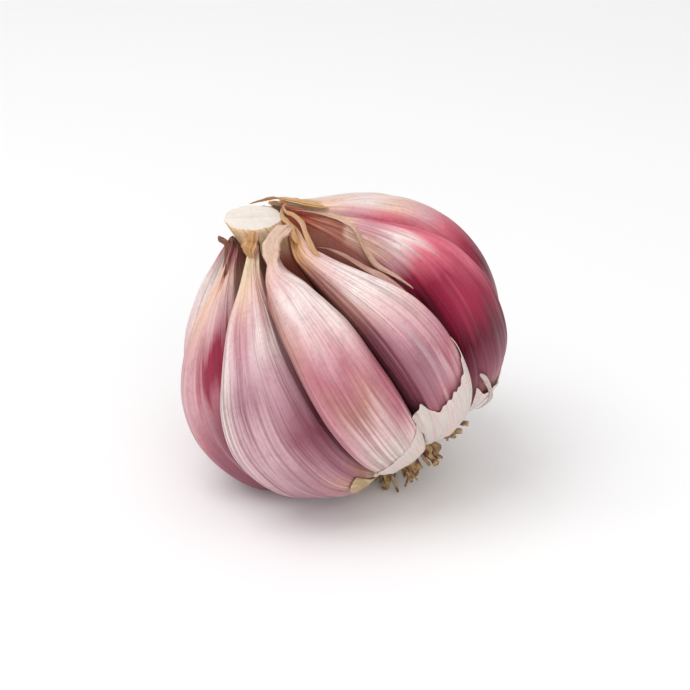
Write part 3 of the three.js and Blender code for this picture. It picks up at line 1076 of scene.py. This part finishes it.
def clove_finish(clove, colours):
    """Satin skin whose colours run along the clove in streaks, with thin veins, pale streaks of painted
    sheen and painted shade on its sides by the grooves.
    """
    skin = Finish(f"clove_{clove.number}_skin")
    along = skin.attribute("along")
    across = skin.attribute("across")
    shifted = across + clove.number * CLOVE_SHIFT

    drift = shifted + uneven(skin.noise(WANDER, shifted, along), WANDER_DEPTH)
    broad = skin.noise(BROAD, shifted, along)
    streaks = skin.noise(STREAKS, drift, along)
    hairs = skin.noise(HAIRS, drift, along)
    reach = along + uneven(broad, BROAD_REACH) + uneven(streaks, STREAK_REACH * clove.streaks)
    # Where the hollow opens, the colour zones shift across the clove, so the painted shade of its left
    # side spreads over the hollow.
    drawn_back = clove.hollow * skin.step(along, *HOLLOW_STRETCH)
    side = across - drawn_back + uneven(broad, BROAD_SIDE) + uneven(streaks, STREAK_SIDE)

    ridge, left, right = (
        skin.ramp(reach, stops(recipe, colours)) for recipe in (clove.ridge, clove.left, clove.right)
    )
    # Painted shade: the flank ramp darkens the clove where its sides turn into the grooves.
    flank_shade = skin.ramp(along, stops(clove.flank_shade, colours))
    colour = skin.mix(skin.step(side, *clove.left_band), ridge, left)
    colour = skin.mix(skin.step(side, *clove.right_band), colour, right)
    colour = skin.mix(skin.step(abs(side), *clove.flank_shade_band) * FLANK_SHADE_STRENGTH, colour, flank_shade)

    body = skin.step(along, *VEINED_FROM) * skin.step(along, *VEINED_UNTIL)
    veined = body * clove.veins
    colour = skin.marked(colour, colours.vein, DARK_STREAK, streaks, veined)
    colour = skin.marked(colour, colours.vein, THIN_VEIN, hairs, veined * skin.step(broad, *VEINED_PARTS))
    # Pale ivory streaks along the skin are painted sheen.
    colour = skin.marked(colour, colours.ivory, PAINTED_SHEEN_STREAK, streaks, body * clove.painted_sheen)
    colour = skin.marked(colour, colours.vein, PATCH, skin.noise(PATCHES, drift, along), body)
    colour = skin.marked(colour, colours.vein, MOTTLE, skin.solid_noise(MOTTLE_BUMPS))
    dried = skin.step(along, *DRIED_FROM)
    colour = skin.marked(colour, colours.bark, DRIED_SPECK, skin.solid_noise(SPECKLE_BUMPS), dried)

    roughness = SKIN_ROUGHNESS - clove.gloss + SATIN_SPREAD * hairs
    normal = skin.bump(hairs + STREAK_HEIGHT * streaks, *SKIN_BUMP)
    constants = {"Specular_IOR_Level": clove.shine, **SKIN_CONSTANTS}
    return skin.surface(Base_Color=colour, Roughness=roughness, Normal=normal, **constants)


def stalk_finish(colours):
    """Dry fibrous stalk, pale on its cut face and tan near the top of its side, with painted shade in
    reddish brown lower down.
    """
    skin = Finish("stalk_fibre")
    along = skin.attribute("along")
    across = skin.attribute("across")
    fibres = skin.noise(STALK_FIBRES, across, along)
    grain = skin.solid_noise(PITH_BUMPS)
    side = skin.marked(colours.straw, colours.tan, STALK_FIBRE, fibres)
    # Painted shade: lower down, among the tails, the side takes the hollow's reddish brown.
    side = skin.marked(side, colours.hollow, STALK_SHADE, along)
    face = skin.marked(colours.pith, colours.straw, PITH_GRAIN, grain)
    colour = skin.marked(side, face, CUT_FACE, along)
    roughness = STALK_ROUGHNESS + SATIN_SPREAD * grain
    normal = skin.bump(fibres + grain, *STALK_BUMP)
    return skin.surface(Base_Color=colour, Roughness=roughness, Normal=normal)


def paper_finish(name, base, stain, colours):
    """Thin dry skin with lengthwise fibres, blotches and a few brown specks."""
    skin = Finish(name)
    along = skin.attribute("along")
    across = skin.attribute("across")
    fibres = skin.noise(PAPER_FIBRES, across, along)
    veins = skin.noise(PAPER_VEINS, across, along)
    colour = skin.marked(base, stain, PAPER_FIBRE, fibres)
    colour = skin.marked(colour, colours.peach, PAPER_BLOTCH, skin.solid_noise(BLOTCH_BUMPS))
    colour = skin.marked(colour, colours.clay, PAPER_VEIN, veins)
    colour = skin.marked(colour, colours.bark, PAPER_SPECK, skin.solid_noise(PAPER_SPECK_BUMPS))
    roughness = PAPER_ROUGHNESS + SATIN_SPREAD * veins
    normal = skin.bump(veins + fibres, *DRY_BUMP)
    return skin.surface(Base_Color=colour, Roughness=roughness, Normal=normal, **SKIN_CONSTANTS)


def root_finish(name, colours):
    """Matt corky brown."""
    skin = Finish(name)
    cork = skin.solid_noise(CORK_BUMPS, CORK_DETAIL)
    colour = skin.marked(colours.bark, colours.root, CORK, cork)
    colour = skin.marked(colour, colours.straw, PALE_CORK, skin.solid_noise(PALE_CORK_BUMPS))
    roughness = MATT_ROUGHNESS + MATT_SPREAD * cork
    return skin.surface(Base_Color=colour, Roughness=roughness, Normal=skin.bump(cork, *DRY_BUMP))


def floor_finish(colours):
    """Plain matt ground."""
    ground = Finish("pale_ground")
    roughness = MATT_ROUGHNESS + MATT_SPREAD * ground.solid_noise(FLOOR_BUMPS)
    return ground.surface(Base_Color=(*colours.floor, 1), Roughness=roughness)


# Pieces

def dress(piece, material, slot, *nodes):
    """Gives a piece its material and ties it to the frame."""
    piece.data.materials.append(material)
    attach(piece, BODY)
    if nodes:
        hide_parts(*nodes)


class GARLIC_OT_cloves(bpy.types.Operator):
    """Builds the cloves in their veined skins"""

    bl_idname = "garlic.cloves"
    bl_label = "Cloves"

    def execute(self, context):
        for clove in CLOVES:
            self.build(clove, context.scene.garlic_sizes, context.scene.garlic_colours)
        return {"FINISHED"}

    def build(self, clove, sizes, colours):
        around, across = section_samples(clove)
        along = np.linspace(0, 1, CLOVE_ROWS)[:, None] + 0 * around
        across = across + 0 * along
        points = clove_surface(clove, around + 0 * along, along)
        relief = skin_relief(clove, along, across, sizes)
        points = points + outward_normals(points) * relief[..., None]
        inside = points[1:-1]
        whole = with_ends(inside)
        whole[-2:] = points[0].mean(axis=0), points[-1].mean(axis=0)
        attributes = {
            "along": clove.reach * np.append(along[1:-1].ravel(), (0, 1)),
            "across": np.append(across[1:-1].ravel(), (0, 0)),
        }
        name = f"skinned_clove_{clove.number}"
        piece = bent_mesh(name, in_row(whole), closed_faces(*inside.shape[:2]), attributes)
        dress(piece, clove_finish(clove, colours), clove.slot, f"clove_{clove.number}")


class GARLIC_OT_stalk(bpy.types.Operator):
    """Builds the flower stalk with its slanting cut"""

    bl_idname = "garlic.stalk"
    bl_label = "Flower stalk"

    def execute(self, context):
        azimuth = np.linspace(0, 360, STALK_ROUND, endpoint=False)
        radius = STALK_RADIUS - STALK_INSET + layered(STALK_GROOVES, STALK_SEED, azimuth)
        side = [self.side_ring(radius, azimuth, share) for share in np.linspace(0, 1, STALK_SIDE_ROWS)]
        face_shares = np.linspace(STALK_RIM, 0, STALK_FACE_ROWS)[:-1]
        face = [self.face_ring(radius * share, azimuth) for share in face_shares]
        grid = np.stack(side + face)
        along = np.append(np.linspace(0, STALK_RIM, STALK_SIDE_ROWS), FACE_MIDDLE - face_shares / 2)
        attributes = {
            "along": np.append(np.repeat(along, STALK_ROUND), (0, FACE_MIDDLE)),
            "across": np.append(np.tile(np.abs(azimuth - 180) / 180, len(grid)), (0, 0)),
        }
        piece = bent_mesh("cut_stalk", in_row(with_ends(grid)), closed_faces(*grid.shape[:2]), attributes)
        dress(piece, stalk_finish(context.scene.garlic_colours), "stalk", "flower_stalk")
        return {"FINISHED"}

    def cut_height(self, points):
        """Height of the cut over points, lower on the right and at the front."""
        across = math.tan(STALK_CUT_SLANT) / math.cos(STALK_CUT_FORWARD)
        return STALK_TOP - across * points[:, 0] + math.tan(STALK_CUT_FORWARD) * points[:, 1]

    def side_ring(self, radius, azimuth, share):
        top = self.cut_height(on_bulb(radius, azimuth, 0))
        narrowed = radius * (1 - STALK_TAPER * (1 - share))
        return on_bulb(narrowed, azimuth, STALK_FOOT + (top - STALK_FOOT) * share)

    def face_ring(self, radius, azimuth):
        flat = on_bulb(radius, azimuth, 0)
        fibres = layered(FACE_FIBRES, FACE_SEED, flat[:, 0], flat[:, 1])
        crest = CREST_HEIGHT * np.exp(-((flat[:, 1] - CREST_PLACE) / CREST_HALF_WIDTH) ** 2)
        return on_bulb(radius, azimuth, self.cut_height(flat) + FACE_RISE + fibres + crest)


class GARLIC_OT_root_plate(bpy.types.Operator):
    """Builds the corky root plate"""

    bl_idname = "garlic.root_plate"
    bl_label = "Root plate"

    def execute(self, context):
        share = np.linspace(0, 1, PLATE_ROWS)[:, None]
        azimuth = np.linspace(0, 360, PLATE_ROUND, endpoint=False)[None, :]
        radius, height = np.moveaxis(spline(PLATE_PROFILE, share + 0 * azimuth), -1, 0)
        lumps = layered(CORK_LUMPS, PLATE_SEED, azimuth, share)
        radius = radius + lumps * smooth_step(radius, *PLATE_EVEN_MIDDLE)
        radius = np.maximum(radius, PLATE_LEAST_RADIUS)
        height = np.maximum(height + PLATE_LUMP_HEIGHT * lumps, 0)
        grid = on_bulb(radius, azimuth, height)
        piece = bent_mesh("corky_plate", in_row(with_ends(grid)), closed_faces(*grid.shape[:2]))
        dress(piece, root_finish("plate_cork", context.scene.garlic_colours), "root_plate", "root_plate")
        return {"FINISHED"}


class GARLIC_OT_roots(bpy.types.Operator):
    """Builds the tufts of trimmed dried roots"""

    bl_idname = "garlic.roots"
    bl_label = "Roots"

    def execute(self, context):
        thickness = context.scene.garlic_sizes.root_thickness / MM
        random = np.random.default_rng(ROOT_SEED)
        points = []
        faces = []
        for count, radius, splay, length, thick, thin in ROOT_RINGS:
            for tuft in range(count):
                azimuth = tuft / count * 360
                low_side = max(0, math.cos(math.radians(azimuth - LOW_AZIMUTH)))
                reach = length + ROOT_REACH * low_side
                for number in range(thick + thin):
                    stout = STUB_STOUTNESS if number < thick else 1
                    strand = self.strand(random, azimuth, radius, splay, reach, thickness * stout)
                    faces += closed_faces(ROOT_ROWS, ROOT_SIDES, sum(map(len, points)))
                    points.append(with_ends(strand))
        piece = bent_mesh("dried_roots", in_row(np.vstack(points)), faces)
        nodes = [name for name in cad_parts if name.startswith("root_tuft")]
        dress(piece, root_finish("root_fibre", context.scene.garlic_colours), "roots", *nodes)
        return {"FINISHED"}

    def strand(self, random, azimuth, radius, splay, reach, thickness):
        """Rings of one bent, knobbly, tapering root."""
        start_radius = radius + random.uniform(-ROOT_STRAY, ROOT_STRAY)
        start_azimuth = azimuth + random.uniform(-TURN_AT_START, TURN_AT_START)
        start = on_bulb(start_radius, start_azimuth, ROOT_TOP)
        end_radius = radius + splay * random.uniform(*ROOT_LENGTHS)
        end_azimuth = azimuth + random.uniform(-TURN_AT_END, TURN_AT_END)
        end = on_bulb(end_radius, end_azimuth, -reach * random.uniform(*ROOT_LENGTHS))
        share = np.linspace(0, 1, ROOT_ROWS)[:, None]
        *wiggle_seeds, knob_seed = random.integers(0, ROOT_SEEDS_BELOW, 4)
        wiggle = np.hstack([layered(ROOT_WIGGLE, seed, share) for seed in wiggle_seeds])
        bow = random.uniform(-ROOT_BOW, ROOT_BOW, 3) * np.sin(math.pi * share)
        path = start + (end - start) * share + bow + wiggle * share
        forward = unit(np.gradient(path, axis=0))
        across = unit(np.cross(forward, ROOT_SIDE))
        beside = np.cross(forward, across)
        knobs = 1 + layered(ROOT_KNOBS, knob_seed, share)
        taper = ROOT_FOOT - ROOT_TAPER * share
        width = thickness * random.uniform(*ROOT_WIDTHS) * knobs * taper
        turn = np.linspace(0, 2 * math.pi, ROOT_SIDES, endpoint=False)[None, :, None]
        ring = across[:, None] * np.cos(turn) + beside[:, None] * np.sin(turn)
        return path[:, None] + width[:, None] * ring


def dress_skin(piece, skin, name, slot, colours):
    """Gives a scrap or a strip its own tint of dry skin and ties it to the frame."""
    base = getattr(colours, skin.tint)
    stain = getattr(colours, skin.stain)
    dress(piece, paper_finish(name, base, stain, colours), slot, *filter(None, (skin.node,)))


def build_scraps(scraps, seed, slot, sizes, colours):
    """Builds torn scraps of paper, each in its own tint."""
    for scrap in scraps:
        points, up, share = scrap_points(scrap, seed)
        attributes = {"along": up, "across": share}
        piece = thin_sheet(f"torn_{scrap.node}", points, attributes, sizes.paper_thickness)
        dress_skin(piece, scrap, f"{scrap.node}_paper", slot, colours)
        seed += SHEET_SEED_STEP


def build_ribbons(ribbons, seed, slot, colours):
    """Builds dried strips, each in its own tint."""
    for ribbon in ribbons:
        rings, share, around = ribbon_rings(ribbon, seed)
        attributes = {
            "along": np.append(np.repeat(share, RIBBON_ROUND), (0, 1)),
            "across": np.append(np.tile(np.cos(around), RIBBON_ROWS), (0, 0)),
        }
        faces = closed_faces(*rings.shape[:2])
        piece = bent_mesh(ribbon.name, in_row(with_ends(rings)), faces, attributes)
        dress_skin(piece, ribbon, f"{ribbon.name}_skin", slot, colours)
        seed += SHEET_SEED_STEP


class GARLIC_OT_base_skins(bpy.types.Operator):
    """Builds the torn wrapper round the base"""

    bl_idname = "garlic.base_skins"
    bl_label = "Base skins"

    def execute(self, context):
        colours = context.scene.garlic_colours
        build_scraps(BASE_SCRAPS, SCRAP_SEED, "base_skin", context.scene.garlic_sizes, colours)
        build_ribbons(BASE_RIBBONS, BASE_RIBBON_SEED, "base_skin", colours)
        return {"FINISHED"}


class GARLIC_OT_neck_skins(bpy.types.Operator):
    """Builds the dried strips round the neck"""

    bl_idname = "garlic.neck_skins"
    bl_label = "Neck skins"

    def execute(self, context):
        colours = context.scene.garlic_colours
        build_ribbons(NECK_RIBBONS, NECK_RIBBON_SEED, "neck_skin", colours)
        return {"FINISHED"}


class GARLIC_OT_stage(bpy.types.Operator):
    """Lays the floor and sets the lights and the camera"""

    bl_idname = "garlic.stage"
    bl_label = "Stage"

    def execute(self, context):
        self.floor(context.scene.garlic_colours)
        self.lights(context.scene)
        self.camera(context.scene)
        return {"FINISHED"}

    def floor(self, colours):
        half = FLOOR_HALF_SIDE
        corners = [(-half, -half, 0), (half, -half, 0), (half, half, 0), (-half, half, 0)]
        ground = bent_mesh("ground", np.array(corners), [(0, 1, 2, 3)])
        ground.data.materials.append(floor_finish(colours))

    def lights(self, scene):
        scene.view_settings.view_transform = "Standard"
        world = bpy.data.worlds.new("studio")
        scene.world = world
        world.use_nodes = True
        sky = world.node_tree.nodes["Background"]
        sky.inputs["Color"].default_value = (1, 1, 1, 1)
        sky.inputs["Strength"].default_value = SKY_STRENGTH
        for name, place, side, power in SOFTBOXES:
            self.softbox(name, place, side, power)

    def softbox(self, name, place, side, power):
        light = bpy.data.lights.new(name, "AREA")
        light.shape = "SQUARE"
        light.size = side
        light.energy = power
        lamp = bpy.data.objects.new(name, light)
        lamp.location = place
        towards = Vector(LIT_POINT) - Vector(place)
        lamp.rotation_euler = towards.to_track_quat("-Z", "Y").to_euler()
        bpy.context.scene.collection.objects.link(lamp)

    def camera(self, scene):
        data = bpy.data.cameras.new("view")
        data.lens = VIEW_LENS
        data.sensor_width = VIEW_SENSOR
        eye = bpy.data.objects.new("view", data)
        middle = Vector(in_row((0, 0, BULB_MIDDLE)))
        back = Vector((0, -math.cos(VIEW_ELEVATION), math.sin(VIEW_ELEVATION)))
        up = Vector((0, math.sin(VIEW_ELEVATION), math.cos(VIEW_ELEVATION)))
        pixel = VIEW_DISTANCE * VIEW_SENSOR / VIEW_LENS / IMAGE_SIDE
        aside = (IMAGE_SIDE / 2 - MIDDLE_PIXEL[0]) * pixel
        above = (MIDDLE_PIXEL[1] - IMAGE_SIDE / 2) * pixel
        target = middle + Vector((aside, 0, 0)) + up * above
        eye.location = target + back * VIEW_DISTANCE
        eye.rotation_euler = (math.pi / 2 - VIEW_ELEVATION, 0, 0)
        scene.collection.objects.link(eye)
        scene.camera = eye


class GARLIC_PT_panel(bpy.types.Panel):
    """Lists the steps that build the bulb"""

    bl_idname = "GARLIC_PT_panel"
    bl_label = "Garlic bulb"
    bl_space_type = "VIEW_3D"
    bl_region_type = "UI"
    bl_category = "Garlic"

    def draw(self, context):
        for operator in OPERATORS:
            self.layout.operator(operator.bl_idname)
        for group in (context.scene.garlic_colours, context.scene.garlic_sizes):
            for key in group.__annotations__:
                self.layout.prop(group, key)


OPERATORS = (
    GARLIC_OT_cloves,
    GARLIC_OT_stalk,
    GARLIC_OT_root_plate,
    GARLIC_OT_roots,
    GARLIC_OT_base_skins,
    GARLIC_OT_neck_skins,
    GARLIC_OT_stage,
)
CLASSES = (GarlicColours, GarlicSizes, *OPERATORS, GARLIC_PT_panel)


def register():
    for cls in CLASSES:
        bpy.utils.register_class(cls)
    bpy.types.Scene.garlic_colours = bpy.props.PointerProperty(type=GarlicColours)
    bpy.types.Scene.garlic_sizes = bpy.props.PointerProperty(type=GarlicSizes)


def unregister():
    del bpy.types.Scene.garlic_sizes
    del bpy.types.Scene.garlic_colours
    for cls in reversed(CLASSES):
        bpy.utils.unregister_class(cls)


def main():
    register()
    bpy.ops.garlic.cloves()
    bpy.ops.garlic.stalk()
    bpy.ops.garlic.root_plate()
    bpy.ops.garlic.roots()
    bpy.ops.garlic.base_skins()
    bpy.ops.garlic.neck_skins()
    bpy.ops.garlic.stage()


if __name__ == "__main__":
    main()
